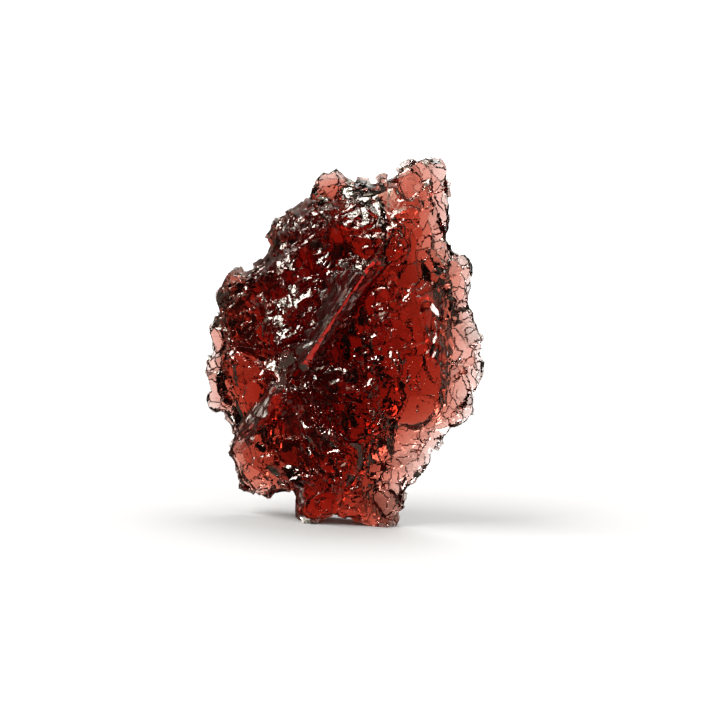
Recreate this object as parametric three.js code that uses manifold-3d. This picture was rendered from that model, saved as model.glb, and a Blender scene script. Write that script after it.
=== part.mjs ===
// A loose piece of clear red zincite: one ragged, plate-like crystal lump that stands on its lower edge.
// Millimetres. X runs to the right and Z up as the fan-shaped broken face is seen from the front, Y runs away
// from the viewer. The origin is on the ground under the middle of the piece.
//
// The piece is thick and nearly opaque in the middle and thin round the rim. Its front is a fan of ridges that
// spread from a hub low on the left, beside one long knife-edged blade. Its back has steep ribs on the thick side.
// Each face is a net of flat facets hung on named creases. The nets are joined round the rim, cut finely,
// chipped all over, and the lowest lumps are worn flat where the piece stands.

import * as THREE from "three";
import { ConvexHull } from "three/addons/math/ConvexHull.js";
import { mergeVertices } from "three/addons/utils/BufferGeometryUtils.js";
import Module from "manifold-3d";

const EDGE_LENGTH = 1.85; // longest side of a facet on the finished piece
const RIM_STEP = 1.15; // longest stretch of rim between two points
const CREASE_STEP = 1.6; // longest stretch of crease between two points
const RIM_ROUNDING = 0.45; // how far each face starts inside the outline
const CLEAR_OF_RIM = 0.85; // creases closer to the rim than this are left out
const CLEAR_OF_CREASE = 0.55; // and so are crease points closer together than this
const RIM_WANDER = 0.16; // sideways raggedness of the rim
const CHIP_SMOOTH = 0.05; // depth of chipping on the smooth facets
const CHIP_ROUGH = 0.3; // and where the face is craggy
const BOW = { height: 1.1, across: 9.5, up: 13, phase: 0.6 }; // how the plate as a whole is bowed
const SEED = 20417;

const ZINCITE_RED = 0x8c1208;

// The outline from the front, clockwise, as [x, z]. half is half the thickness of the rim along that stretch.
const OUTLINE = [
  {
    stretch: "upper left lobe",
    half: 0.9,
    points: [
      [-7.5, 43.5], [-7.2, 44.8], [-6.5, 46.0], [-5.9, 46.9], [-5.0, 46.8], [-4.0, 47.3], [-3.2, 47.1],
      [-2.6, 46.4],
    ],
  },
  {
    stretch: "saddle",
    half: 1.2,
    points: [[-1.8, 46.0], [-0.6, 46.3], [0.3, 46.0], [1.2, 46.1], [1.7, 46.9], [2.3, 47.1], [3.0, 46.7]],
  },
  {
    stretch: "upper right lobe",
    half: 0.8,
    points: [
      [4.1, 47.6], [5.0, 48.9], [5.8, 49.6], [6.6, 49.4], [7.6, 49.9], [8.6, 50.1], [9.6, 49.8], [10.3, 49.1],
      [10.7, 48.0], [11.1, 46.8], [11.2, 45.5], [11.4, 43.8], [11.6, 42.2], [11.7, 41.0], [11.4, 40.1],
      [11.9, 38.6], [12.4, 37.9],
    ],
  },
  {
    stretch: "right shoulder",
    half: 0.8,
    points: [
      [13.0, 37.7], [14.0, 37.8], [14.8, 37.3], [15.3, 36.3], [15.5, 35.2], [15.3, 33.8], [15.2, 32.5],
      [15.1, 31.3], [15.8, 30.0], [15.9, 28.8],
    ],
  },
  {
    stretch: "right bulge",
    half: 0.8,
    points: [
      [16.8, 28.0], [17.5, 27.0], [17.5, 25.8], [17.4, 24.5], [17.8, 23.2], [17.9, 21.8], [17.5, 20.3],
      [17.0, 19.0], [17.1, 17.5], [17.1, 16.2], [16.6, 15.2], [15.6, 14.5], [14.4, 14.1],
    ],
  },
  {
    stretch: "lower right steps",
    half: 0.8,
    points: [
      [13.8, 13.0], [13.3, 11.8], [12.9, 10.8], [12.3, 10.3], [12.2, 9.2], [12.0, 8.1], [11.2, 7.2],
      [10.4, 6.3], [9.7, 5.5], [9.1, 4.7], [9.1, 3.4], [9.0, 2.2], [8.6, 1.3],
    ],
  },
  {
    stretch: "right foot",
    half: 2.4,
    points: [[8.3, 0.3], [7.6, -0.5], [6.6, -0.7], [5.6, -0.6], [4.7, -0.2]],
  },
  {
    stretch: "notch between the feet",
    half: 3.4,
    points: [[3.8, 0.3], [2.9, 0.2], [2.1, 0.7], [1.2, 0.6], [0.5, 1.0], [-0.3, 1.3], [-0.9, 0.7]],
  },
  {
    stretch: "left foot",
    half: 4.6,
    points: [[-1.5, 0], [-2.3, -0.6], [-3.3, -0.8], [-4.2, -0.7], [-4.8, 0], [-5.2, 1.0]],
  },
  {
    stretch: "lower left lobe",
    half: 1.1,
    points: [
      [-5.5, 2.1], [-5.8, 3.0], [-6.2, 3.7], [-7.0, 3.7], [-8.0, 3.3], [-9.0, 2.5], [-9.8, 2.5], [-10.6, 3.2],
      [-11.6, 3.0], [-12.4, 2.8], [-13.1, 3.5], [-13.4, 4.6], [-13.6, 5.8], [-14.1, 7.0], [-14.9, 7.6],
      [-15.1, 8.8], [-14.8, 9.9], [-14.6, 11.0], [-14.9, 12.2], [-15.5, 12.9], [-16.4, 13.3], [-17.2, 13.2],
    ],
  },
  {
    stretch: "left edge",
    half: 0.8,
    points: [
      [-18.2, 13.8], [-18.7, 15.0], [-18.2, 16.4], [-18.5, 17.6], [-19.1, 18.8], [-18.9, 20.2], [-18.2, 21.4],
      [-18.6, 22.8], [-19, 24.2], [-18.6, 25.6], [-17.9, 26.6], [-18.3, 28], [-18.5, 29.3], [-18.1, 30.4],
    ],
  },
  {
    stretch: "left shoulder",
    half: 1.3,
    points: [
      [-17.5, 31.3], [-16.9, 32.3], [-16.0, 32.8], [-15.0, 32.7], [-14.2, 33.2], [-13.4, 33.7], [-12.9, 34.6],
      [-12.2, 35.2], [-11.9, 36.3],
    ],
  },
  {
    stretch: "upper left steps",
    half: 1.4,
    points: [
      [-12.3, 37.5], [-12.1, 38.6], [-11.6, 39.8], [-10.8, 40.3], [-9.9, 41.2], [-8.8, 41.9], [-7.8, 42.4],
    ],
  },
];

// The creases of the front, as [x, z, height towards the viewer]. A run is one ridge, brink or valley line.
const FRONT = {
  bladeCrest: [
    [-7.6, 18.6, 7.4], [-5.5, 21.3, 8.6], [-4.0, 24.4, 9.2], [-2.1, 28.4, 9.4], [0, 32.4, 9.0], [1.6, 35, 8.4],
    [3.1, 37.2, 7.6], [4.8, 39.6, 6.4],
  ],
  bladeLeftFoot: [[-8.3, 21.5, 5.8], [-6.9, 25.5, 6.2], [-5.2, 29.3, 6.3], [-3.7, 33, 6.2], [-1.5, 36.2, 6.2]],
  bladeCliffFoot: [
    [-4.1, 22.2, 6.9], [-2.7, 25, 6.4], [-0.8, 28.7, 6.1], [1.3, 32.3, 5.7], [3.1, 35.2, 5.4], [5.4, 38, 5.0],
  ],
  fanRidgeUpper: [[-1.4, 25.9, 7.2], [0.5, 28, 7.2], [2.3, 29.5, 7.0], [4.1, 31.7, 6.6], [6.6, 33.2, 6.0]],
  fanValleyUpper: [[-2.5, 22.9, 6.6], [0.3, 25.6, 6.3], [3, 28, 6.0], [5.8, 30.8, 5.8], [8.4, 32.2, 5.4]],
  fanRidgeMiddle: [[-4.6, 20.4, 8.0], [-1.4, 21.8, 7.9], [1.6, 24.1, 7.6], [3.4, 25.7, 7.2], [5.4, 28.4, 6.5]],
  fanValleyMiddle: [[-2.6, 20.4, 7.0], [0.8, 21.6, 6.7], [3.2, 23.2, 6.5], [5.2, 24.4, 6.4]],
  fanRidgeLevel: [[-3, 18.9, 8.0], [0, 19.5, 7.8], [2.4, 20, 7.6], [4.2, 21.1, 7.4], [6.3, 20.4, 7.0], [8, 20.4, 6.4]],
  fanHollowLevel: [[1.8, 18.4, 6.4], [3.2, 17.4, 6.1], [4.8, 17.2, 5.8], [6.4, 18.4, 5.8]],
  fanRidgeDown: [
    [-6.2, 17.6, 7.6], [-4.3, 16, 7.6], [-3.1, 13.6, 7.2], [-2.2, 11.2, 6.8], [-1.1, 9, 6.2], [0.2, 6.8, 5.4],
  ],
  fanValleyDown: [[-2.5, 16.6, 6.4], [-1, 13.6, 5.9], [0.3, 10.5, 5.3], [1.3, 7.9, 4.7]],
  fanRidgeLower: [[-0.6, 16.8, 7.4], [0.9, 13.7, 6.7], [2.1, 10.7, 5.6], [3, 7.9, 4.2], [3.6, 5.7, 3.1]],
  fanValleyLower: [[1.4, 15.6, 5.8], [3, 12.4, 4.4], [4.3, 9.4, 2.9], [5, 6.6, 1.9]],
  fanRidgeRight: [[2.2, 16.4, 6.9], [4, 14.6, 6.0], [5.6, 12.2, 4.2], [7, 10, 2.7], [8, 8.2, 1.8]],
  plateau: [[6.8, 25.8, 6.5], [8.6, 29.6, 6.1], [9.2, 24.2, 6.6], [10.4, 20, 6.2], [7.6, 22.4, 6.7]],
  plateauLow: [[11, 27, 5.9], [10.8, 17.6, 5.4]],
  plateauBrink: [[9.7, 31.4, 5.6], [11, 28.4, 5.7], [11.7, 25, 5.7], [12.1, 21.5, 5.4], [12.3, 18.2, 4.8]],
  plateauFoot: [[11.3, 31.6, 3.3], [12.1, 28.6, 2.9], [12.8, 25, 2.5], [13.1, 21.5, 2.3], [13.4, 18, 2.1]],
  knee: [[7.6, 17.2, 5.3], [9.6, 15.9, 4.5], [11.6, 15.6, 3.4], [13.2, 15.4, 2.4]],
  kneeFoot: [[6.8, 14.6, 3.6], [8.4, 13.8, 2.1], [10.4, 13.8, 1.6], [12, 14, 1.4]],
  lowerRightShelf: [[9.4, 11.2, 1.5], [10.8, 11.2, 1.3], [10.2, 8.4, 1.2], [8.2, 5.6, 1.4]],
  lowerRightTip: [[6.4, 4.4, 1.6], [7.4, 2.6, 1.9], [5.4, 2.4, 2.3]],
  hubHollow: [[-7.5, 15.6, 4.6], [-6.7, 12.6, 4.2], [-5.6, 9.6, 4.5], [-4.4, 6.9, 5.0]],
  greyBlade: [[-9, 17.6, 6.8], [-10, 15.2, 6.7], [-11.3, 12.7, 6.0], [-12.5, 10.5, 4.8]],
  greyBladeRight: [[-8.7, 14.6, 4.9], [-9.9, 12, 4.2], [-11.3, 9.6, 3.6]],
  greyBladeLeft: [[-10.9, 16.6, 4.4], [-12.3, 14, 3.4], [-13.5, 11.6, 2.5]],
  lowerWindow: [[-9.5, 9.6, 4.5], [-8.2, 7.6, 4.7], [-6.8, 7.2, 4.8]],
  lowerLeftDark: [[-12, 7.8, 4.4], [-11, 6.8, 4.5]],
  lowerLeftApron: [[-12.4, 5, 2.2], [-10.8, 4.8, 2.2], [-9, 4.6, 2.4], [-7.4, 5.2, 3.2]],
  baseLip: [[-6, 5.8, 5.2], [-4.8, 4.7, 5.6], [-2.6, 4.4, 6.0], [-0.4, 4.6, 5.5], [1.6, 4.3, 4.3], [3.4, 4, 3.0]],
  footLumps: [[-4.3, 2.8, 4.8], [-2.9, 2, 5.2], [-1.2, 2.6, 4.7], [0.6, 2.8, 4.1], [2.4, 2.4, 3.4], [4, 2.2, 2.8]],
  knobCrest: [
    [-8.8, 38, 6.2], [-7.2, 38.6, 7.2], [-5.8, 38.9, 7.7], [-4.4, 40.3, 7.5], [-3.2, 41.2, 7.0], [-1, 41, 6.8],
    [1.3, 40.1, 6.3],
  ],
  knobFace: [[-7.6, 36.2, 5.7], [-5.3, 37.1, 5.1], [-3, 38.5, 4.9], [-0.7, 38.4, 4.9], [1.5, 37.6, 5.3]],
  innerLumps: [[-5.3, 35.2, 6.8], [-3.9, 35.7, 6.5], [-1.8, 37.3, 6.0]],
  crag: [[-8.6, 33.5, 7.6], [-7, 33.1, 7.5], [-5.9, 32.2, 7.0]],
  cragDip: [[-7.9, 35, 5.9], [-6.2, 34.4, 5.7]],
  cragFoot: [[-8.8, 31.2, 8.0], [-7.4, 30.4, 6.6], [-6.9, 28.8, 7.3], [-7.6, 26.8, 6.6], [-8.2, 24.4, 6.3]],
  blockCrest: [[-10.6, 34.6, 6.0], [-10.3, 31.4, 7.3], [-9.6, 28.6, 7.7], [-9.2, 26, 7.4], [-9, 23.9, 6.6]],
  blockFace: [[-12.6, 31.6, 4.5], [-11.9, 28.8, 4.9], [-10.9, 26.4, 4.9]],
  leftHollow: [[-13.8, 27, 3.0], [-12.4, 25, 2.7], [-10.7, 23.2, 2.9], [-9.7, 21, 3.0]],
  leftHollowLow: [[-13.4, 22.6, 2.6], [-11.7, 20.6, 2.8]],
  leftHollowRim: [[-16.3, 28.4, 3.2], [-16.7, 25.2, 2.8], [-16.5, 22.2, 2.3]],
  ringBump: [[-15.2, 21.2, 4.3], [-14.3, 20, 4.3], [-15.3, 18.9, 3.5]],
  redLump: [[-13, 18.2, 4.2], [-11.5, 17.9, 4.5], [-12.3, 16, 3.9]],
  leftFlap: [[-16.8, 18, 1.7], [-16.6, 15.4, 1.5], [-15.2, 14.4, 1.8]],
  leftShoulderLumps: [[-15.8, 30.8, 3.6], [-14.1, 31.4, 3.6], [-13.7, 29.2, 4.4]],
  shoulderLink: [[-11.7, 33.6, 4.2], [-10.9, 36.5, 4.4]],
  stepLobe: [[-10.9, 38.6, 3.8], [-9.6, 39.9, 4.0], [-8.1, 40.8, 4.2], [-6.6, 41.8, 4.3]],
  upperLeftPane: [[-5.3, 45.2, 2.1], [-4, 45.9, 2.1], [-3.5, 43.9, 2.3], [-5.5, 43.2, 2.8]],
  saddleLedge: [[-2.4, 44.9, 2.5], [-0.6, 44.9, 2.8], [1.1, 44.8, 3.0], [2.5, 45.4, 3.0]],
  saddleSlope: [[-1.7, 43.1, 3.7], [0.4, 42.8, 4.2], [2.4, 43.5, 4.3]],
  sparkleRow: [[1.2, 41.8, 4.9], [2.5, 41.4, 5.6], [3.8, 42.3, 5.3], [4.7, 41, 5.7]],
  redBand: [[5.3, 45.7, 4.3], [6.3, 43.5, 4.9], [6.3, 41.2, 5.1], [7, 38.8, 4.7], [6.5, 36.4, 4.8]],
  upperRightCrest: [[5.9, 48.3, 2.0], [7.5, 48.7, 2.3], [9.1, 48, 2.1]],
  upperRightPane: [[7.5, 46.4, 2.6], [8.6, 44.2, 2.0], [8.4, 41.6, 2.0]],
  upperRightEdge: [[10.1, 45.6, 1.3], [10.2, 43, 1.2], [10.6, 40.3, 1.1]],
  windows: [[9.1, 39.8, 1.9], [9.4, 38, 1.8], [8.4, 36.6, 3.2], [8.2, 34.8, 4.4]],
  windowSill: [[10.6, 38, 1.6], [11.2, 36.4, 2.3], [10.8, 34.2, 3.6]],
  rightShoulderPane: [[13.5, 36.5, 1.2], [14.1, 34.9, 1.4], [13.7, 32.7, 1.5]],
  rightShoulderFoot: [[12.5, 34.8, 2.3], [12.5, 32.6, 2.5]],
  rightRimInner: [[14.2, 30, 1.4], [14.3, 27.2, 1.6], [14.6, 24.6, 1.2], [14.7, 21.4, 1.2], [14.9, 18.6, 1.1]],
  rightRimOuter: [[16, 26.4, 1.2], [16.3, 23.8, 1.5], [16.4, 21, 1.2], [15.9, 17.6, 1.3], [15.2, 16, 1.4]],
};

// The creases of the back, as [x, z, height away from the viewer]: steep ribs and grooves run up the thick left
// and middle, and the right is plain.
const BACK = {
  ribLeft: [[-15.8, 27.5, 5.4], [-14.6, 24, 6.7], [-14.4, 20.5, 6.1], [-13.2, 17, 4.4]],
  grooveLeft: [[-13.6, 30, 4.0], [-13.2, 26.5, 4.8], [-12, 22.5, 4.4], [-11.6, 18.5, 4.2], [-10.4, 14.6, 3.0]],
  ribInnerLeft: [
    [-10.1, 36.5, 4.8], [-10.9, 32.5, 6.8], [-10.7, 28.5, 8.1], [-10.4, 24.5, 7.8], [-9.1, 20.5, 7.6],
    [-8.6, 16.5, 6.0], [-7.4, 12.6, 5.0], [-6.9, 9.2, 4.2],
  ],
  grooveInnerLeft: [
    [-8.2, 38.6, 3.0], [-7.9, 34.6, 4.9], [-8.6, 30.5, 4.6], [-7.7, 26.4, 6.0], [-7.3, 22.2, 4.8],
    [-5.9, 18.2, 5.1], [-5.6, 14.4, 3.6], [-4.9, 10.8, 3.6],
  ],
  spine: [
    [-5.1, 41.2, 4.2], [-5.9, 37.4, 6.4], [-5.4, 33.2, 8.2], [-5.9, 29, 8.4], [-4.6, 25, 8.7], [-4.5, 20.8, 8.2],
    [-3.1, 16.6, 7.6], [-3.2, 12.6, 6.7], [-2.4, 8.6, 6.0], [-2.9, 4.6, 5.4], [-3.1, 2.2, 5.0],
  ],
  grooveInnerRight: [
    [-2.9, 42.4, 2.6], [-3.3, 39, 4.7], [-2.9, 35, 5.2], [-3.4, 31, 6.7], [-2.3, 27, 5.8], [-1.8, 23, 6.4],
    [-0.7, 18.8, 5.0], [-0.6, 14.6, 4.9], [-0.3, 10.4, 3.9],
  ],
  ribRight: [
    [-0.5, 40.6, 4.6], [-1, 36.6, 6.6], [-0.6, 32.6, 8.0], [-0.3, 28.6, 7.8], [0.8, 24.8, 7.6], [1.2, 21, 6.6],
    [2.1, 17, 5.8], [1.9, 13, 4.8], [2.1, 9.2, 3.8],
  ],
  grooveRight: [[1.7, 38.6, 3.6], [1.8, 34.6, 4.4], [2.5, 30.6, 4.4], [3, 26.8, 4.1], [4.1, 23, 3.4]],
  plain: [[6, 36, 2.4], [6.5, 31.5, 2.6], [7, 27.5, 2.6], [7.6, 23.5, 2.5], [8, 19.5, 2.3], [7.6, 15.6, 2.0]],
  plainRight: [[10.4, 32, 1.9], [11, 28, 2.1], [11.4, 24, 2.1], [11.4, 20, 1.9], [11, 16.6, 1.7]],
  lowerRight: [[5, 11.6, 2.0], [5, 8, 1.5], [5.2, 5.4, 1.5]],
  upperRight: [[5.2, 40, 2.4], [6.2, 43.4, 2.0], [6.8, 46.4, 1.6]],
  saddle: [[1.4, 43.4, 2.4], [-0.8, 44.8, 2.0]],
  leftCheek: [[-16.6, 23.4, 1.6], [-16.9, 19, 1.0], [-15.6, 15.4, 1.0], [-12.9, 12.2, 1.4]],
  rightCheek: [[13.4, 28.6, 1.1], [13.8, 24.4, 0.9], [14.2, 19.8, 0.9], [13.4, 16.4, 1.1]],
  rightRim: [[15.9, 25.4, 1.0], [16.2, 21.6, 1.1], [15.6, 17, 1.0]],
  shoulderCheek: [[12.4, 32.4, 1.3], [13.8, 35.2, 1.0], [11, 35.6, 1.4]],
  windowCheek: [[9.6, 38.2, 1.0], [9.6, 41.4, 0.9], [9.4, 44.8, 0.9], [8.2, 48, 0.9]],
  lowerCheek: [[9.4, 13.2, 1.1], [8.4, 10, 1.0], [10.4, 8.6, 0.9], [7.4, 5.8, 1.2]],
  footRow: [[6.8, 2.4, 1.9], [4, 3, 2.3], [1, 3, 3.6], [-5, 3.8, 4.2]],
  lowerLeftCheek: [[-8.8, 7.8, 2.2], [-12.4, 6.6, 1.4], [-10.6, 4.9, 1.3], [-7.8, 5.2, 1.8]],
  shoulderBump: [[-16.4, 30.4, 2.0], [-12.9, 32.6, 3.2]],
  stepBump: [[-10.6, 38.9, 2.3], [-9, 40.6, 2.2]],
  lobeBump: [[-4.6, 45.4, 1.7], [-6.2, 44, 1.9]],
};

// Where the front and back are craggy rather than smooth: rounds of [x, z, radius].
const CRAGGY = [
  [-7.5, 33, 6], [-4, 39.5, 5], [-15, 30, 4], [-10.5, 38, 4], [-9, 26, 3], [-14, 20, 4], [2.5, 42, 3.5],
  [0, 18, 5], [15.5, 30, 4], [16, 22, 5], [10.5, 37, 4.5], [11, 9, 4.5], [7, 2, 4], [-9, 4, 6], [-3, 2, 4],
  [11, 45, 2.5], [-5, 46, 3],
];

// Random numbers from 0 to 1 that come out the same each time.
function randomFrom(seed) {
  let state = seed;
  return () => {
    state = (state + 0x6d2b79f5) | 0;
    let t = Math.imul(state ^ (state >>> 15), 1 | state);
    t = (t + Math.imul(t ^ (t >>> 7), 61 | t)) ^ t;
    return ((t ^ (t >>> 14)) >>> 0) / 4294967296;
  };
}

const random = randomFrom(SEED);
const spread = (size) => (2 * random() - 1) * size;

// The rim as points {x, z, half}, counterclockwise from the front, close together and a little ragged.
function rimPoints() {
  const corners = OUTLINE.flatMap(({ half, points }) => points.map(([x, z]) => ({ x, z, half }))).reverse();
  return corners.flatMap((a, i) => {
    const b = corners[(i + 1) % corners.length];
    const count = Math.ceil(Math.hypot(b.x - a.x, b.z - a.z) / RIM_STEP);
    return Array.from({ length: count }, (_, k) => ({
      x: THREE.MathUtils.lerp(a.x, b.x, k / count) + (k ? spread(RIM_WANDER) : 0),
      z: THREE.MathUtils.lerp(a.z, b.z, k / count) + (k ? spread(RIM_WANDER) : 0),
      half: THREE.MathUtils.lerp(a.half, b.half, k / count),
    }));
  });
}

// The rim moved inwards, with each thickness averaged with its neighbours'.
function insetRim(rim, distance) {
  const count = rim.length;
  return rim.map((p, i) => {
    const before = rim[(i + count - 1) % count];
    const after = rim[(i + 1) % count];
    const along = new THREE.Vector2(after.x - before.x, after.z - before.z).normalize();
    return {
      x: p.x - along.y * distance,
      z: p.z + along.x * distance,
      half: (before.half + 2 * p.half + after.half) / 4,
    };
  });
}

function isInside(x, z, ring) {
  let inside = false;
  for (let i = 0, j = ring.length - 1; i < ring.length; j = i++) {
    const a = ring[i];
    const b = ring[j];
    if (a.z > z !== b.z > z && x < ((b.x - a.x) * (z - a.z)) / (b.z - a.z) + a.x) inside = !inside;
  }
  return inside;
}

// The points of all creases, close together, clear of the rim and of each other, as {x, z, height}.
function creasePoints(creases, ring) {
  const kept = [];
  const add = (x, z, height) => {
    const near = (q, gap) => Math.hypot(q.x - x, q.z - z) < gap;
    if (!isInside(x, z, ring) || ring.some((q) => near(q, CLEAR_OF_RIM))) return;
    if (!kept.some((q) => near(q, CLEAR_OF_CREASE))) kept.push({ x, z, height });
  };
  for (const run of Object.values(creases)) {
    run.forEach(([x, z, height], i) => {
      add(x, z, height);
      if (i === run.length - 1) return;
      const [nextX, nextZ, nextHeight] = run[i + 1];
      const count = Math.ceil(Math.hypot(nextX - x, nextZ - z) / CREASE_STEP);
      for (let k = 1; k < count; k++) {
        const share = k / count;
        add(
          THREE.MathUtils.lerp(x, nextX, share),
          THREE.MathUtils.lerp(z, nextZ, share),
          THREE.MathUtils.lerp(height, nextHeight, share),
        );
      }
    });
  }
  return kept;
}

// The best-shaped net of triangles over flat points, counterclockwise: the underside of the hull of the same
// points lifted onto a bowl.
function netOver(points) {
  const lifted = points.map(({ x, z }) => new THREE.Vector3(x, z, (x * x + (z - 25) ** 2) / 50));
  const indexOf = new Map(lifted.map((p, i) => [p, i]));
  const hull = new ConvexHull().setFromPoints(lifted);
  return hull.faces
    .filter((face) => face.normal.z < 0)
    .map(({ edge }) => [edge.head(), edge.tail(), edge.prev.tail()].map((v) => indexOf.get(v.point)));
}

const bowAt = (x, z) => BOW.height * Math.sin(x / BOW.across + BOW.phase) * Math.cos(z / BOW.up);

// Adds one face of the piece, hung on its creases inside its ring. side is -1 for the front, 1 for the back.
function addFace(vertices, triangles, ring, firstOfRing, creases, side) {
  const inner = creasePoints(creases, ring);
  const firstOfInner = vertices.length;
  for (const { x, z, height } of inner) vertices.push(new THREE.Vector3(x, bowAt(x, z) + side * height, z));
  const indexOf = (i) => (i < ring.length ? firstOfRing + i : firstOfInner + i - ring.length);
  const flat = [...ring, ...inner];
  for (const corners of netOver(flat)) {
    const middle = (axis) => corners.reduce((sum, i) => sum + flat[i][axis], 0) / 3;
    if (!isInside(middle("x"), middle("z"), ring)) continue;
    const [a, b, c] = corners.map(indexOf);
    triangles.push(side < 0 ? [a, b, c] : [a, c, b]);
  }
}

// Joins two rings of the same length with a band of triangles.
function addBand(triangles, firstOfFront, firstOfBack, count) {
  for (let i = 0; i < count; i++) {
    const next = (i + 1) % count;
    triangles.push([firstOfFront + next, firstOfFront + i, firstOfBack + i]);
    triangles.push([firstOfFront + next, firstOfBack + i, firstOfBack + next]);
  }
}

function facetedPlate() {
  const rim = rimPoints();
  const inner = insetRim(rim, RIM_ROUNDING);
  const vertices = [];
  const triangles = [];
  for (const { x, z, half } of inner) vertices.push(new THREE.Vector3(x, bowAt(x, z) - half, z));
  for (const { x, z } of rim) vertices.push(new THREE.Vector3(x, bowAt(x, z) + spread(RIM_WANDER), z));
  for (const { x, z, half } of inner) vertices.push(new THREE.Vector3(x, bowAt(x, z) + half, z));
  const count = rim.length;
  addBand(triangles, 0, count, count);
  addBand(triangles, count, 2 * count, count);
  addFace(vertices, triangles, inner, 0, FRONT, -1);
  addFace(vertices, triangles, inner, 2 * count, BACK, 1);
  return { vertices, triangles };
}

// Halves the longest sides first, until none is longer than asked.
function cutFinely({ vertices, triangles }, longest) {
  for (;;) {
    const edges = new Map();
    triangles.forEach((corners, side) => {
      corners.forEach((a, k) => {
        const b = corners[(k + 1) % 3];
        const key = `${Math.min(a, b)} ${Math.max(a, b)}`;
        if (!edges.has(key)) edges.set(key, { a, b, length: vertices[a].distanceTo(vertices[b]), sides: [] });
        edges.get(key).sides.push(side);
      });
    });
    const long = [...edges.values()].filter((e) => e.length > longest).sort((p, q) => q.length - p.length);
    if (!long.length) return;
    const touched = new Set();
    for (const { a, b, sides } of long) {
      if (sides.some((side) => touched.has(side))) continue;
      const middle = vertices.push(vertices[a].clone().lerp(vertices[b], 0.5)) - 1;
      for (const side of sides) {
        touched.add(side);
        const corners = triangles[side];
        triangles[side] = corners.map((v) => (v === b ? middle : v));
        triangles.push(corners.map((v) => (v === a ? middle : v)));
      }
    }
  }
}

function chipDepthAt(x, z) {
  const cragginess = CRAGGY.map(([cx, cz, radius]) => 1 - Math.hypot(x - cx, z - cz) / radius);
  const share = THREE.MathUtils.smoothstep(Math.max(...cragginess), 0, 0.5);
  return THREE.MathUtils.lerp(CHIP_SMOOTH, CHIP_ROUGH, share);
}

// Moves each vertex in or out along the surface's own direction there.
function chip({ vertices, triangles }) {
  const outward = vertices.map(() => new THREE.Vector3());
  for (const [a, b, c] of triangles) {
    const toB = vertices[b].clone().sub(vertices[a]);
    const toC = vertices[c].clone().sub(vertices[a]);
    const normal = toB.cross(toC);
    for (const i of [a, b, c]) outward[i].add(normal);
  }
  vertices.forEach((v, i) => v.addScaledVector(outward[i].normalize(), spread(chipDepthAt(v.x, v.z))));
}

function geometryOf({ vertices, triangles }) {
  const geometry = new THREE.BufferGeometry().setFromPoints(vertices);
  geometry.setIndex(triangles.flat());
  return geometry;
}

const wasm = await Module();
wasm.setup();

function solidOf(geometry) {
  const bare = new THREE.BufferGeometry().setAttribute("position", geometry.getAttribute("position"));
  bare.setIndex(geometry.index);
  const merged = mergeVertices(bare, 1e-3);
  return new wasm.Manifold(
    new wasm.Mesh({
      numProp: 3,
      vertProperties: new Float32Array(merged.attributes.position.array),
      triVerts: new Uint32Array(merged.index.array),
    }),
  );
}

function geometryOfSolid(solid) {
  const { vertProperties, triVerts, numProp, numVert } = solid.getMesh();
  const vertices = Array.from({ length: numVert }, (_, i) => {
    return new THREE.Vector3().fromArray(vertProperties, i * numProp);
  });
  const geometry = new THREE.BufferGeometry().setFromPoints(vertices);
  return geometry.setIndex(new THREE.BufferAttribute(triVerts, 1));
}

// Wears the lowest lumps flat, to one level.
function wornFlat(geometry) {
  const ground = new THREE.BoxGeometry(100, 100, 10).translate(0, 0, -5);
  return geometryOfSolid(solidOf(geometry).subtract(solidOf(ground)));
}

// Moves the piece so that the origin is on the ground under the middle of its box.
function centred(geometry) {
  geometry.computeBoundingBox();
  const middle = geometry.boundingBox.getCenter(new THREE.Vector3());
  return geometry.translate(-middle.x, -middle.y, 0);
}

function crystal() {
  const plate = facetedPlate();
  cutFinely(plate, EDGE_LENGTH);
  chip(plate);
  const material = new THREE.MeshStandardMaterial({ color: ZINCITE_RED, roughness: 0.15, metalness: 0 });
  const mesh = new THREE.Mesh(centred(wornFlat(geometryOf(plate))), material);
  mesh.name = "zincite_crystal";
  return mesh;
}

const specimen = new THREE.Group();
specimen.add(crystal());

export default specimen;
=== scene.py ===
"""A loose piece of clear red zincite on a white floor, lit as in a product photo."""

import itertools
import math
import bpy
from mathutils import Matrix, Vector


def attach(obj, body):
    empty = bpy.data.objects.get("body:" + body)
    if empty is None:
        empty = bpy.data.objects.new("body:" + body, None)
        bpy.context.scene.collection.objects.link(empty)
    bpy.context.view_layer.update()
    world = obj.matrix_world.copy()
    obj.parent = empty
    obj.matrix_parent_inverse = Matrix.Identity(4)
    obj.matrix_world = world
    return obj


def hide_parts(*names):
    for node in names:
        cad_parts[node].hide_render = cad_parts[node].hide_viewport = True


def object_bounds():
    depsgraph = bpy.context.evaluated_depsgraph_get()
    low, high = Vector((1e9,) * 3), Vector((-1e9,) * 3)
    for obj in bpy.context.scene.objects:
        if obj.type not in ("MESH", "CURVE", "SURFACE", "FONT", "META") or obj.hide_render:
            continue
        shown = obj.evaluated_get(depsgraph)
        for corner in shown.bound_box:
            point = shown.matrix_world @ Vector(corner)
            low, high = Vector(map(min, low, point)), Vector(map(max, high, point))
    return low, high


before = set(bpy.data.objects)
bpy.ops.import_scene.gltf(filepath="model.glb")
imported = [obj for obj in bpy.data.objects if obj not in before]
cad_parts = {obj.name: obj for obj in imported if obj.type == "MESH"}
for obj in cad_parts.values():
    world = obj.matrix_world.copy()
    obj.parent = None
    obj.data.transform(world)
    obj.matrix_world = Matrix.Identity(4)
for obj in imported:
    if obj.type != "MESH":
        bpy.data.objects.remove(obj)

from types import SimpleNamespace

import bpy
import numpy as np
from mathutils import Quaternion, Vector

CAD_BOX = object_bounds()
MM = 0.001

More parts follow.
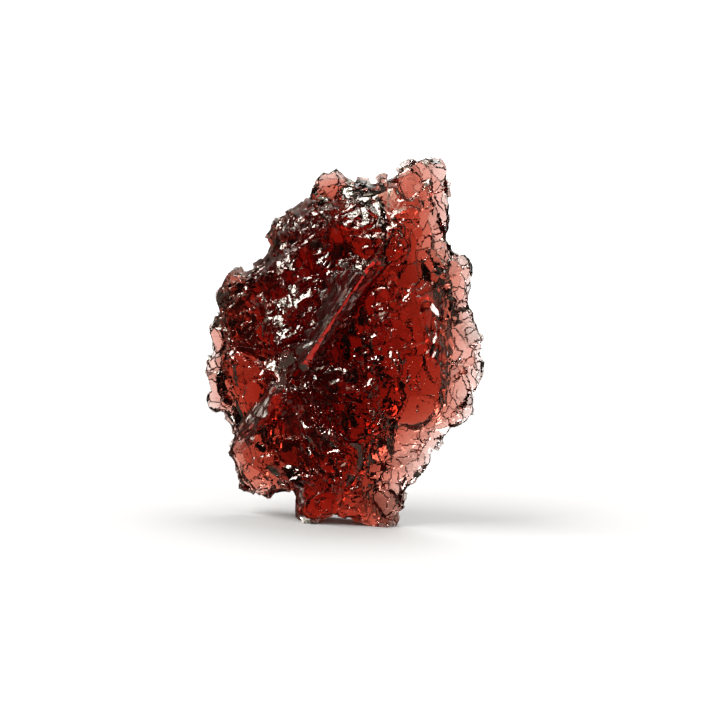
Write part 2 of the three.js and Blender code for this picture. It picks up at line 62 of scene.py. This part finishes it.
# Camera. The photo leans, so the camera is rolled.
AIM = Vector((1.94, 0, 22.2)) * MM
CAMERA_ELEVATION = math.radians(6)
CAMERA_ROLL = math.radians(5.4)
CAMERA_DISTANCE = 350 * MM
FIELD_WIDTH = 96.5 * MM
SENSOR_WIDTH = 36

# The crystal's mesh, in millimetres. FACES_KEPT is the share of its faces that the last thinning leaves.
VOXEL = 0.19
FACES_KEPT = 0.6
SHARP_EDGE = math.radians(20)
RELAX_ROUNDS = 40
PLAIN_HOLLOWED = 0.6

# The blade is the straight wedge that rises from the hub. The stripe is the red line along its right side.
HUB = np.array([-7.0, 18.5])
BLADE_ALONG = (0.489, 0, 0.872)
BLADE_ACROSS = (0.872, 0, -0.489)
BLADE_LENGTH = 17.5
BLADE_WIDTH = 4.0
STRIPE_LENGTH = 24

# Areas of the front. Each line is a list of [x, z] points, after how far the area reaches from it.
ON_FRONT = {
    # A second, frosted blade that runs from the hub down to the left.
    "grey_blade": [(1.5, [[-8.7, 17.2], [-10.1, 14.8], [-12.1, 11.8], [-12.8, 9.8]])],
    # The small pale ridges right of the hub.
    "hub_fan": [(1.8, [[-6.5, 18.2], [-3, 19.5], [0.5, 21]])],
    # The flakes along the upper right edge of the plateau.
    "shards": [(1.9, [[10.2, 32], [11.6, 28.5], [12.2, 25]])],
    # The smooth red face on the right.
    "plateau": [(6, [[7, 27.5], [8.5, 22], [9, 18.5]])],
    # The broken upper left.
    "crags": [(4, [[-8.1, 26.5], [-7.7, 32], [-7, 37.5], [-4, 40.5], [0, 40.5]])],
    # The ridges that spread from the hub.
    "fan": [(7, [[-4, 13], [0, 12], [2, 21], [5, 27]])],
    # The hollows are the dark, smooth places between the ridges.
    "left_hollow": [(3.6, [[-14, 26.5], [-11.5, 23.5]])],
    "hollow": [
        (2.6, [[-2, 38.2], [0.6, 37.4]]),
        (1.6, [[-6.9, 35.6], [-6.4, 34.2]]),
        (2.2, [[-1.2, 22.8], [1.6, 26.6], [3.6, 31.4]]),
        (2.2, [[-6.6, 13.8], [-6.4, 9]]),
        (1.1, [[-10, 19.4], [-9.5, 18.4]]),
    ],
    # Broken edges of ridges, where small facets flash.
    "sparkles": [
        (0.9, [[-5.4, 20.4], [-2.4, 25.2], [0.6, 30.6], [3.6, 36]]),
        (0.9, [[-5.8, 19], [-2.2, 19.8], [2, 21.6], [5.4, 24.6]]),
        (0.9, [[1.4, 23.8], [4, 28.6], [7.4, 32.6]]),
        (0.9, [[3.6, 36], [5.4, 40], [5.8, 44]]),
        (0.9, [[-4.4, 17.6], [-3, 16], [-1.3, 10.5]]),
        (0.9, [[-1.4, 17.6], [0.4, 11.3], [1, 5.1]]),
        (0.9, [[2.4, 20.4], [3.3, 18.8], [6.4, 12.9]]),
        (0.9, [[-1.5, 20.6], [0.5, 21], [4.5, 17.3]]),
        (0.9, [[5, 23.2], [7.4, 22.4], [8.5, 20.8]]),
        (0.9, [[-10, 40], [-7, 38.6]]),
    ],
}

# The clear lobes of the rim, level in front and behind, so that light comes straight through.
LOBES = [
    (2.4, [[-4.6, 43.8], [-3.8, 46.5]]),
    (2, [[-11.5, 32], [-10, 30.8]]),
    (2, [[6, 46], [7.5, 48]]),
    (2, [[4.8, 37.5], [6.2, 41.5]]),
    (2.2, [[-16.4, 20], [-15.4, 15.5]]),
    (2, [[-12.6, 9], [-10, 5]]),
    (2, [[14, 36], [14.4, 33]]),
    (1.8, [[-17.4, 23.5], [-16.8, 15]]),
    (1.6, [[17, 25], [17.4, 21]]),
    (1.5, [[10, 48.5], [10.6, 40.5]]),
    (1.3, [[-9.4, 38.5], [-8.4, 37.8]]),
    (2, [[6.5, 3.8], [8, 2]]),
    (1.8, [[8.3, 37.5], [8.6, 42]]),
    (1.9, [[-15.4, 31], [-13.2, 30.8]]),
]

# Areas of the back: clear panes, the steep ribs that keep the middle dark, and the pane behind the stripe.
CLEAR_BACK = [
    (4, [[-13, 18], [-11, 16]]),
    (4, [[4, 46], [9, 38]]),
    (4.5, [[5, 34], [6, 24]]),
]
RIBS = [
    (8, [[-6, 20], [-6.5, 28], [-5.5, 36]]),
    (6.5, [[-4.5, 11], [-6, 20]]),
    (4.5, [[-13.5, 27], [-12, 24.5]]),
]
PANE = [(2.2, [[-10.8, 25.2], [-4.2, 36.2], [-0.8, 40.6]])]

# The slopes, along X and Z, that broken facets have. FLASH_LEFT and FLASH_RIGHT mirror the lamps.
FLASH_LEFT = (-0.37, 0.55)
FLASH_RIGHT = (0.16, 0.61)
FLASHES = [FLASH_LEFT, FLASH_RIGHT]
LEVEL = [(0, 0)]
STRIPE_SLOPES = [(0.8, -0.45)]
BLADE_SLOPES = [(0.35, -0.2), (0, 0)]
GREY_SLOPES = [FLASH_LEFT, (0.5, 0), (-0.1, -0.4), (0.3, 0.2)]
CRAG_SLOPES = [FLASH_LEFT, FLASH_LEFT, FLASH_LEFT, (0.6, 0), (-0.1, -0.4), (0.5, 0.3)]
SHARD_SLOPES = [FLASH_LEFT, (0.75, -0.1), (0.6, 0.3)]
FAN_SLOPES = [(0.35, 0.1), (-0.35, -0.1), (-0.15, 0.4), (0.1, -0.35)]
HOLLOW_SLOPES = [(-0.35, -0.2), (-0.25, -0.35)]
LEFT_SLOPES = [(0.15, -0.1), (0.05, -0.2)]
RIB_SLOPES = [(0.9, 0.2), (-0.9, -0.2), (0.3, 0.8), (-0.2, -0.8)]

# What the crystal is made of. The density is per metre.
IOR = 2.0
ABSORPTION_DENSITY = 640
ABSORPTION_COLOUR = (0.755, 0.2, 0.05, 1)
ROUGHNESS_CLEAR = 0.01
ROUGHNESS_FROSTED = 0.9

# How frosted each area is, from 0 to 1.
FROST = {"blade": 0.3, "grey_blade": 0.3, "crags": 0.1, "hub_fan": 0.1, "shards": 0.15}
FROST_RIM = 0.6
FROST_RIBS = 0.3

# Relief finer than the mesh, in millimetres.
CHIP_SIZE = 0.9
CHIP_HEIGHT = 0.35
RIPPLE_SIZE = 0.4
RIPPLE_HEIGHT = 0.06
STRIAE_SPACING = 0.35
STRIAE_LENGTH = 5.0
STRIAE_HEIGHT = 0.3
CHIPPED_PLAIN = 0.35
CHIPPED_HUB = 0.6

# The brightness of the white tent: SEEN directly by the camera, THROUGH the crystal, MIRRORED by its faces,
# and LIGHTING the floor. Its ends lie in front of the crystal and behind it. The brightness changes smoothly
# from the sides to the ends, which begin where the Y of a direction is ENDS_FROM.
SEEN_WHITE = 1.15
LIGHTING_WHITE = 0.6
THROUGH_ENDS = 1.15
THROUGH_SIDES = 0.25
THROUGH_ENDS_FROM = 0.65
MIRRORED_ENDS = 0.03
MIRRORED_SIDES = 0.4
MIRRORED_ENDS_FROM = 0.5
MIRRORED_TINT = (1, 0.9, 0.72, 1)

# Lamps in the tent: azimuth, elevation and half width in degrees, and brightness.
THROUGH_LAMPS = [(-134, 17, 14, 5)]
MIRRORED_LAMPS = [(-50, 45, 34, 4), (140, 45, 34, 2)]

# Large far lamps: azimuth, elevation, strength, and width in degrees.
SUNS = {
    "key": (-50, 45, 1.6, 35),
    "top": (150, 65, 1.1, 40),
    "sparkle_left": (-35, 35, 0.1, 4),
    "sparkle_right": (25, 55, 0.1, 4),
}

# Bounces: light turns round many times inside the crystal before it comes out.
MAX_BOUNCES = 14
GLOSSY_BOUNCES = 10
TRANSMISSION_BOUNCES = 12

FLOOR_RADIUS = 160 * MM
FLOOR_WHITE = 0.66


def hashed(cell, seed, count):
    """count numbers from 0 to 1 for each whole-number cell, the same each time."""
    cell = cell.astype(np.uint64)
    state = cell[:, 0] * 73856093 ^ cell[:, 1] * 19349663 ^ cell[:, 2] * 83492791
    state = state ^ (seed * 2654435761)
    numbers = []
    for _ in range(count):
        state = (state * 6364136223846793005 + 1442695040888963407) & 0xFFFFFFFFFFFFFFFF
        mixed = (state >> 33) ^ (state >> 20)
        numbers.append((mixed & 0xFFFFFF) / float(0x1000000))
    return np.stack(numbers, axis=1)


def scattered_cells(places, seed):
    """The number of the scattered cell, one unit wide, that each place falls in, and the list of cells."""
    base = np.floor(places).astype(np.int64)
    nearest = np.full(len(places), np.inf)
    found = np.zeros_like(base)
    for offset in itertools.product((-1, 0, 1), repeat=3):
        cell = base + np.array(offset)
        away = places - (cell + hashed(cell, seed, 3))
        distance = (away**2).sum(1)
        closer = distance < nearest
        nearest[closer] = distance[closer]
        found[closer] = cell[closer]
    cells, numbers = np.unique(found, axis=0, return_inverse=True)
    return numbers.ravel(), cells


def cleaved(points, normals, share, places, slopes, seed, jitter, follow=0.0, most=0.8, chance=1.0):
    """The points moved along Y, by up to most, on to flat facets, one to a scattered cell of places.

    share says how much each point moves. Each facet has one of the slopes along X and Z, give or take jitter,
    on top of the share follow of the slope that is there. Only that chance of the cells is cleaved.
    """
    numbers, cells = scattered_cells(places, seed)
    weight = np.maximum(share, 0.001)

    def average(values):
        return np.bincount(numbers, weight * values) / np.bincount(numbers, weight)

    luck = hashed(cells, seed + 1, 4)
    choice = (luck[:, 2] * len(slopes)).astype(int)
    slope = np.array(slopes, float)[choice] + (2 * luck[:, :2] - 1) * jitter
    across, through, up = (average(normals[:, axis]) for axis in range(3))
    through = np.where(np.abs(through) < 0.3, np.inf, through)
    slope -= follow * np.stack([across / through, up / through], axis=1)
    away = points - np.stack([average(points[:, axis]) for axis in range(3)], axis=1)[numbers]
    plane = slope[numbers, 0] * away[:, 0] + slope[numbers, 1] * away[:, 2]
    move = np.clip(plane - away[:, 1], -most, most) * share * (luck[:, 3] < chance)[numbers]
    moved = points.copy()
    moved[:, 1] += move
    return moved


def facets(points, size, seed, tilt, step):
    """Height of a face broken into flat facets of that size, each tilted and stepped its own way."""
    numbers, cells = scattered_cells(points / size, seed)
    luck = hashed(cells, seed + 1, 4)
    away = points - (cells[numbers] + 0.5) * size
    slope = (2 * luck[:, :3] - 1) * tilt
    return (away * slope[numbers]).sum(1) + (luck[numbers, 3] - 0.5) * step


def wavy(points, size, height):
    """The points shifted to and fro, by up to about height, in waves of about that size."""
    shift = np.zeros_like(points)
    for k in range(6):
        wave = np.array([math.sin(7.1 * k + 1), math.cos(5.3 * k), math.sin(3.7 * k + 2)])
        shift[:, k % 3] += np.sin(points @ wave * math.tau / size + k) / 2
    return points + height * shift


def along_blade(points, width, length):
    """The points laid out along and across the blade, for cells of that width and length."""
    across = points @ np.array(BLADE_ACROSS)
    along = points @ np.array(BLADE_ALONG)
    return np.stack([across / width, along / length, np.zeros(len(points))], axis=1)


def round_hub(points, width, length):
    """The points laid out round the hub, for cells that fan out from it. width is at 10 mm from the hub."""
    away = points[:, [0, 2]] - HUB
    angle = np.arctan2(away[:, 1], away[:, 0])
    return np.stack([angle * 10 / width, np.hypot(*away.T) / length, np.zeros(len(points))], axis=1)


def spread_flat(points, size):
    """The points laid out as seen from the front, for cells of that size."""
    return np.stack([points[:, 0] / size, points[:, 2] / size, np.zeros(len(points))], axis=1)


def smooth_step(low, high, value):
    share = np.clip((value - low) / (high - low), 0, 1)
    return share * share * (3 - 2 * share)


def near(points, line, radius):
    """From 0 to 1: how near each point is, from the front, to a line of [x, z] points."""
    flat = points[:, [0, 2]]
    line = np.array(line, float)
    best = np.full(len(points), np.inf)
    for start, end in zip(line[:-1], line[1:]):
        along = end - start
        share = np.clip((flat - start) @ along / (along @ along), 0, 1)
        gap = np.linalg.norm(flat - (start + share[:, None] * along), axis=1)
        best = np.minimum(best, gap)
    return 1 - smooth_step(radius * 0.6, radius, best)


def around(points, lines):
    """From 0 to 1: how near each point is, from the front, to the nearest of the lines."""
    return np.maximum.reduce([near(points, line, radius) for radius, line in lines])


def relaxed(points, edges, share, rounds):
    """The points drawn towards the middle of their neighbours, each by its share."""
    count = len(points)
    ends = np.concatenate([edges, edges[:, ::-1]])
    degree = np.bincount(ends[:, 0], minlength=count)
    for _ in range(rounds):
        sums = [np.bincount(ends[:, 0], points[ends[:, 1], axis], count) for axis in range(3)]
        middle = np.stack(sums, axis=1) / degree[:, None]
        points = points + (0.5 * share)[:, None] * (middle - points)
    return points


def get_vectors(collection, name):
    flat = np.empty(len(collection) * 3)
    collection.foreach_get(name, flat)
    return flat.reshape(-1, 3)


def get_edges(mesh):
    flat = np.empty(len(mesh.edges) * 2, dtype=np.int32)
    mesh.edges.foreach_get("vertices", flat)
    return flat.reshape(-1, 2)


def set_points(mesh, points):
    mesh.vertices.foreach_set("co", (points * MM).ravel())
    mesh.update()


def areas(points, normals):
    """How much each point belongs to each area, from 0 to 1. The outlines of most areas are ragged."""
    rough = wavy(points, 3, 0.3)
    ragged = rough[:, 0] - points[:, 0]
    front = smooth_step(0.1, -0.3, normals[:, 1])
    back = smooth_step(0.1, 0.4, normals[:, 1])
    at = SimpleNamespace(**{name: around(rough, lines) * front for name, lines in ON_FRONT.items()})
    at.fan = at.fan * (1 - at.plateau)
    at.lobes = around(rough, LOBES)
    at.pane = around(rough, PANE) * back
    at.clear = around(points, CLEAR_BACK) * back
    at.ribs = around(points, RIBS) * back * (1 - at.clear)

    from_hub = points - np.array([HUB[0], 0, HUB[1]])
    across = from_hub @ np.array(BLADE_ACROSS)
    along = from_hub @ np.array(BLADE_ALONG)
    start = smooth_step(0, 1, along)
    width = BLADE_WIDTH * (0.25 + 0.75 * along / BLADE_LENGTH) + 3 * ragged
    lengthways = start * smooth_step(BLADE_LENGTH + 1, BLADE_LENGTH - 1, along + 4 * ragged)
    left_side = smooth_step(-width - 0.3, -width + 0.3, across)
    at.blade = lengthways * left_side * smooth_step(-0.4, -0.8, across) * front
    width = 0.7 + 0.9 * smooth_step(10, 22, along)
    lengthways = start * smooth_step(STRIPE_LENGTH, STRIPE_LENGTH - 2, along)
    left_side = smooth_step(-1.0, -0.6, across)
    at.stripe = lengthways * left_side * smooth_step(0.2, -0.2, across - width) * front
    return at


def add_sides(at, normals):
    """Adds which way each point faces, and the areas that follow from it."""
    at.seen = smooth_step(-0.25, -0.5, normals[:, 1])
    at.behind = smooth_step(0.25, 0.5, normals[:, 1])
    at.rim = (1 - at.seen) * (1 - at.behind)
    at.any_front = smooth_step(-0.02, -0.2, normals[:, 1])
    at.any_back = smooth_step(0.02, 0.2, normals[:, 1])
    at.calm = np.maximum.reduce([at.blade, at.grey_blade, at.stripe])
    flat = np.maximum.reduce([at.plateau, at.hollow, at.left_hollow]) * (1 - at.calm)
    at.plain = at.seen * (1 - at.calm) * (1 - at.crags) * (1 - flat) * (1 - at.lobes) * (1 - at.shards)
    at.rocky = at.seen * at.crags * (1 - at.calm) * (1 - at.hollow) * (1 - at.lobes)


def broken(points, normals, at):
    """The points moved on to broken facets. Each round breaks one area in its own way."""
    warped = wavy(points, 7, 1.2)
    thin = smooth_step(3.8, 2.6, np.abs(points[:, 1]))
    loose = at.seen * at.sparkles * (1 - np.maximum(at.blade, at.stripe))

    def cleave(share, layout, slopes, **settings):
        nonlocal points
        points = cleaved(points, normals, share, layout, slopes, **settings)

    cleave(at.stripe, along_blade(points, 20, 7), STRIPE_SLOPES,
           seed=24, jitter=0.02, most=1.4)
    cleave(at.seen * at.blade, along_blade(warped, 0.8, 9), BLADE_SLOPES,
           seed=25, jitter=0.1, follow=0.2, most=0.6)
    cleave(at.seen * at.grey_blade, along_blade(warped, 0.8, 2.5), GREY_SLOPES,
           seed=26, jitter=0.12, follow=0.4, most=0.5)
    cleave(at.any_front * at.lobes, spread_flat(warped, 2.6), LEVEL,
           seed=28, jitter=0.1, follow=0.15, most=2.0)
    cleave(at.any_back * at.lobes, spread_flat(warped, 2.6), LEVEL,
           seed=33, jitter=0.1, follow=0.15, most=2.0)
    cleave(at.seen * at.hollow * (1 - at.calm), spread_flat(warped, 4), HOLLOW_SLOPES,
           seed=22, jitter=0.05, follow=0.1, most=1.4)
    cleave(at.seen * at.left_hollow, spread_flat(warped, 4), LEFT_SLOPES,
           seed=32, jitter=0.05, follow=0.1, most=1.4)
    cleave(at.seen * at.plateau, spread_flat(warped, 6.5), LEVEL,
           seed=31, jitter=0.04, follow=0.5, most=1.4)
    cleave(at.plain, spread_flat(warped, 3.2), LEVEL,
           seed=11, jitter=0.12, follow=0.8)
    cleave(at.plain * at.fan, round_hub(warped, 1.4, 7.0), FAN_SLOPES,
           seed=14, jitter=0.1, follow=0.8, most=0.6)
    cleave(at.seen * at.fan * (1 - at.calm), round_hub(warped, 0.6, 3.0), FLASHES,
           seed=30, jitter=0.1, most=0.3, chance=0.12)
    cleave(at.rocky, along_blade(warped, 1.6, 3.2), CRAG_SLOPES,
           seed=12, jitter=0.07, follow=0.2, most=1.6)
    cleave(at.rocky, along_blade(warped, 0.55, 1.5), CRAG_SLOPES,
           seed=13, jitter=0.14, most=0.4, chance=0.7)
    cleave(at.seen * at.shards, along_blade(warped, 1.0, 2.6), SHARD_SLOPES,
           seed=15, jitter=0.12, most=0.9)
    cleave(at.plain * thin, spread_flat(warped, 1.7), LEVEL,
           seed=17, jitter=0.16, follow=0.4, most=0.3, chance=0.7)
    cleave(loose, along_blade(warped, 0.6, 1.3), FLASHES + FAN_SLOPES,
           seed=23, jitter=0.12, most=0.35, chance=0.6)
    cleave(at.seen * (1 - at.stripe), along_blade(warped, 0.5, 1.2), FLASHES,
           seed=16, jitter=0.1, most=0.25, chance=0.035)
    cleave(at.behind * (1 - at.ribs) * (1 - at.lobes), spread_flat(warped, 3.4), LEVEL,
           seed=18, jitter=0.08, follow=0.7)
    cleave(at.clear, spread_flat(warped, 4.5), LEVEL,
           seed=29, jitter=0.05, follow=0.2, most=1.5)
    cleave(at.behind * at.ribs * (1 - at.pane), spread_flat(warped, 3.0), RIB_SLOPES,
           seed=19, jitter=0.2, follow=0.6, most=1.0)
    cleave(at.pane, along_blade(points, 20, 7), LEVEL,
           seed=27, jitter=0.02, most=2.5)
    points[:, 1] -= PLAIN_HOLLOWED * at.behind * (1 - at.ribs)
    return points + normals * (at.rim * facets(warped, 2.2, seed=21, tilt=0.3, step=0.25))[:, None]


def break_surface(piece):
    """Breaks the plain solid's surface into fine facets, and notes how frosted and chipped each place is."""
    mesh = piece.data
    points = get_vectors(mesh.vertices, "co") / MM
    normals = get_vectors(mesh.vertices, "normal")
    at = areas(points, normals)
    facing = smooth_step(0.35, 0.75, np.abs(normals[:, 1]))
    share = facing * (1 - at.stripe) * (1 - at.crags) * (1 - at.ribs)
    points = relaxed(points, get_edges(mesh), share, RELAX_ROUNDS)
    set_points(mesh, points)
    normals = get_vectors(mesh.vertices, "normal")
    add_sides(at, normals)
    low = np.array(CAD_BOX[0]) / MM
    high = np.array(CAD_BOX[1]) / MM
    set_points(mesh, np.clip(broken(points, normals, at), low, high))

    frost = [amount * getattr(at, name) for name, amount in FROST.items()]
    frost += [FROST_RIM * at.rim, FROST_RIBS * at.behind * at.ribs * (1 - at.pane)]
    chipped = CHIPPED_PLAIN + (1 - CHIPPED_PLAIN) * np.maximum(at.crags, CHIPPED_HUB * at.hub_fan)
    layers = {
        "frost": np.maximum.reduce(frost),
        "chipped": at.seen * (1 - at.calm) * chipped,
        "striated": np.maximum(at.blade, at.grey_blade),
    }
    for name, values in layers.items():
        layer = mesh.attributes.new(name, "FLOAT", "POINT")
        layer.data.foreach_set("value", values.astype(np.float32))


def crystal():
    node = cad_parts["zincite_crystal"]
    piece = bpy.data.objects.new("zincite", node.data.copy())
    bpy.context.scene.collection.objects.link(piece)
    bpy.context.view_layer.objects.active = piece
    piece.select_set(True)
    remesh = piece.modifiers.new("remesh", "REMESH")
    remesh.mode = "VOXEL"
    remesh.voxel_size = VOXEL * MM
    bpy.ops.object.modifier_apply(modifier=remesh.name)
    break_surface(piece)
    decimate = piece.modifiers.new("decimate", "DECIMATE")
    decimate.ratio = FACES_KEPT
    bpy.ops.object.modifier_apply(modifier=decimate.name)
    piece.data.shade_smooth()
    piece.data.set_sharp_from_angle(angle=SHARP_EDGE)
    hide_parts("zincite_crystal")
    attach(piece, "root")
    return piece


class Shader:
    """A few short ways to add nodes to a node tree and link them."""

    def __init__(self, tree):
        self.nodes, self.links = tree.nodes, tree.links

    def add(self, kind, values=None, **settings):
        """A new node. values sets its inputs, by name or number, to a value or to another socket."""
        node = self.nodes.new("ShaderNode" + kind)
        for name, value in settings.items():
            setattr(node, name, value)
        for key, value in (values or {}).items():
            if isinstance(value, bpy.types.NodeSocket):
                self.links.new(value, node.inputs[key])
            else:
                node.inputs[key].default_value = value
        return node

    def sum(self, a, b):
        return self.add("Math", {0: a, 1: b}, operation="ADD").outputs[0]

    def product(self, a, b):
        return self.add("Math", {0: a, 1: b}, operation="MULTIPLY").outputs[0]

    def dot(self, a, b):
        return self.add("VectorMath", {0: a, 1: b}, operation="DOT_PRODUCT").outputs["Value"]

    def ramp(self, value, low, high, start, end):
        """start where value is low, end where it is high, and a smooth change between."""
        names = {"Value": value, "From Min": low, "From Max": high, "To Min": start, "To Max": end}
        return self.add("MapRange", names, interpolation_type="SMOOTHSTEP").outputs["Result"]

    def mix(self, share, a, b):
        return self.add("Mix", {0: share, 2: a, 3: b}, data_type="FLOAT").outputs[0]

    def attribute(self, name):
        return self.add("Attribute", attribute_name=name).outputs["Fac"]


def zincite_material():
    material = bpy.data.materials.new("zincite")
    material.use_nodes = True
    tree = Shader(material.node_tree)
    shader = material.node_tree.nodes["Principled BSDF"]
    shader.inputs["Base Color"].default_value = (1, 1, 1, 1)
    shader.inputs["Transmission Weight"].default_value = 1
    shader.inputs["IOR"].default_value = IOR

    frost = tree.attribute("frost")
    roughness = tree.mix(frost, ROUGHNESS_CLEAR, ROUGHNESS_FROSTED)
    tree.links.new(roughness, shader.inputs["Roughness"])

    place = tree.add("TexCoord").outputs["Object"]
    place = tree.add("VectorMath", {0: place, "Scale": 1 / MM}, operation="SCALE").outputs[0]
    cells = tree.add("TexVoronoi", {"Vector": place, "Scale": 1 / CHIP_SIZE})
    away = tree.add("VectorMath", {0: place, 1: cells.outputs["Position"]}, operation="SUBTRACT").outputs[0]
    middle = (0.5, 0.5, 0.5)
    slope = tree.add("VectorMath", {0: cells.outputs["Color"], 1: middle}, operation="SUBTRACT").outputs[0]
    chips = tree.product(tree.dot(away, slope), CHIP_HEIGHT)
    chips = tree.product(chips, tree.attribute("chipped"))

    across = tree.product(tree.dot(place, BLADE_ACROSS), 1 / STRIAE_SPACING)
    along = tree.product(tree.dot(place, BLADE_ALONG), 1 / STRIAE_LENGTH)
    stretched = tree.add("CombineXYZ", {0: across, 1: along}).outputs[0]
    striae = tree.add("TexNoise", {"Vector": stretched, "Scale": 1, "Detail": 2}).outputs["Fac"]
    striae = tree.product(tree.product(striae, STRIAE_HEIGHT), tree.attribute("striated"))
    ripples = tree.add("TexNoise", {"Vector": place, "Scale": 1 / RIPPLE_SIZE, "Detail": 1}).outputs["Fac"]
    ripples = tree.product(tree.product(ripples, RIPPLE_HEIGHT), tree.attribute("chipped"))
    relief = tree.sum(tree.sum(chips, striae), ripples)
    bump = tree.add("Bump", {"Height": relief, "Distance": MM, "Strength": 1})
    tree.links.new(bump.outputs["Normal"], shader.inputs["Normal"])

    volume = tree.add("VolumeAbsorption", {"Color": ABSORPTION_COLOUR, "Density": ABSORPTION_DENSITY})
    tree.links.new(volume.outputs["Volume"], material.node_tree.nodes["Material Output"].inputs["Volume"])
    return material


def floor():
    bpy.ops.mesh.primitive_circle_add(vertices=96, radius=FLOOR_RADIUS, fill_type="NGON")
    floor_piece = bpy.context.object
    floor_piece.name = "floor"
    material = bpy.data.materials.new("white_floor")
    material.use_nodes = True
    shader = material.node_tree.nodes["Principled BSDF"]
    shader.inputs["Base Color"].default_value = (FLOOR_WHITE, FLOOR_WHITE, FLOOR_WHITE, 1)
    shader.inputs["Roughness"].default_value = 0.9
    shader.inputs["Specular IOR Level"].default_value = 0.1
    floor_piece.data.materials.append(material)
    floor_piece.visible_glossy = False


def towards(azimuth, elevation):
    """A direction. Azimuth 0 is the camera's side and turns to the right; both angles are in degrees."""
    turn, rise = math.radians(azimuth), math.radians(elevation)
    return Vector((math.sin(turn) * math.cos(rise), -math.cos(turn) * math.cos(rise), math.sin(rise)))


def sun(name, azimuth, elevation, strength, angle):
    """A large far lamp."""
    data = bpy.data.lights.new(name, "SUN")
    data.energy = strength
    data.angle = math.radians(angle)
    lamp = bpy.data.objects.new(name, data)
    lamp.rotation_mode = "QUATERNION"
    lamp.rotation_quaternion = (-towards(azimuth, elevation)).to_track_quat("-Z", "Y")
    bpy.context.scene.collection.objects.link(lamp)


def surroundings():
    """A white tent. What the crystal's faces mirror of its ends is dark, as with black cards by the lens."""
    world = bpy.data.worlds.new("studio")
    bpy.context.scene.world = world
    world.use_nodes = True
    tree = Shader(world.node_tree)
    background = world.node_tree.nodes["Background"]
    direction = tree.add("TexCoord").outputs["Generated"]
    ray = tree.add("LightPath").outputs

    def with_lamps(brightness, lamps):
        for azimuth, elevation, width, extra in lamps:
            nearness = tree.dot(direction, towards(azimuth, elevation))
            lamp = tree.ramp(nearness, math.cos(math.radians(width)), 1, 0, extra)
            brightness = tree.sum(brightness, lamp)
        return brightness

    endways = tree.add("Math", {0: tree.dot(direction, (0, 1, 0))}, operation="ABSOLUTE").outputs[0]
    mirrored = tree.ramp(endways, 0, MIRRORED_ENDS_FROM, MIRRORED_SIDES, MIRRORED_ENDS)
    mirrored = with_lamps(mirrored, MIRRORED_LAMPS)
    through = tree.ramp(endways, 0, THROUGH_ENDS_FROM, THROUGH_SIDES, THROUGH_ENDS)
    through = with_lamps(through, THROUGH_LAMPS)
    strength = tree.mix(ray["Is Diffuse Ray"], mirrored, LIGHTING_WHITE)
    strength = tree.mix(ray["Is Transmission Ray"], strength, through)
    strength = tree.mix(ray["Is Camera Ray"], strength, SEEN_WHITE)
    tree.links.new(strength, background.inputs["Strength"])
    plain = tree.sum(ray["Is Camera Ray"], tree.sum(ray["Is Diffuse Ray"], ray["Is Transmission Ray"]))
    colour = tree.add("Mix", {0: plain, 6: MIRRORED_TINT, 7: (1, 1, 1, 1)}, data_type="RGBA").outputs[2]
    tree.links.new(colour, background.inputs["Color"])


def camera():
    data = bpy.data.cameras.new("camera")
    data.sensor_width = SENSOR_WIDTH
    data.lens = SENSOR_WIDTH * CAMERA_DISTANCE / FIELD_WIDTH
    data.clip_start = 0.01
    data.clip_end = 20
    eye = bpy.data.objects.new("camera", data)
    away = Vector((0, -math.cos(CAMERA_ELEVATION), math.sin(CAMERA_ELEVATION)))
    eye.location = AIM + away * CAMERA_DISTANCE
    eye.rotation_mode = "QUATERNION"
    eye.rotation_quaternion = (-away).to_track_quat("-Z", "Y") @ Quaternion((0, 0, 1), CAMERA_ROLL)
    bpy.context.scene.collection.objects.link(eye)
    bpy.context.scene.camera = eye


piece = crystal()
piece.data.materials.clear()
piece.data.materials.append(zincite_material())
floor()
surroundings()
for name, (azimuth, elevation, strength, width) in SUNS.items():
    sun(name, azimuth, elevation, strength, width)
camera()
scene = bpy.context.scene
scene.view_settings.view_transform = "Standard"
scene.view_settings.look = "Medium High Contrast"
scene.cycles.max_bounces = MAX_BOUNCES
scene.cycles.glossy_bounces = GLOSSY_BOUNCES
scene.cycles.transmission_bounces = TRANSMISSION_BOUNCES
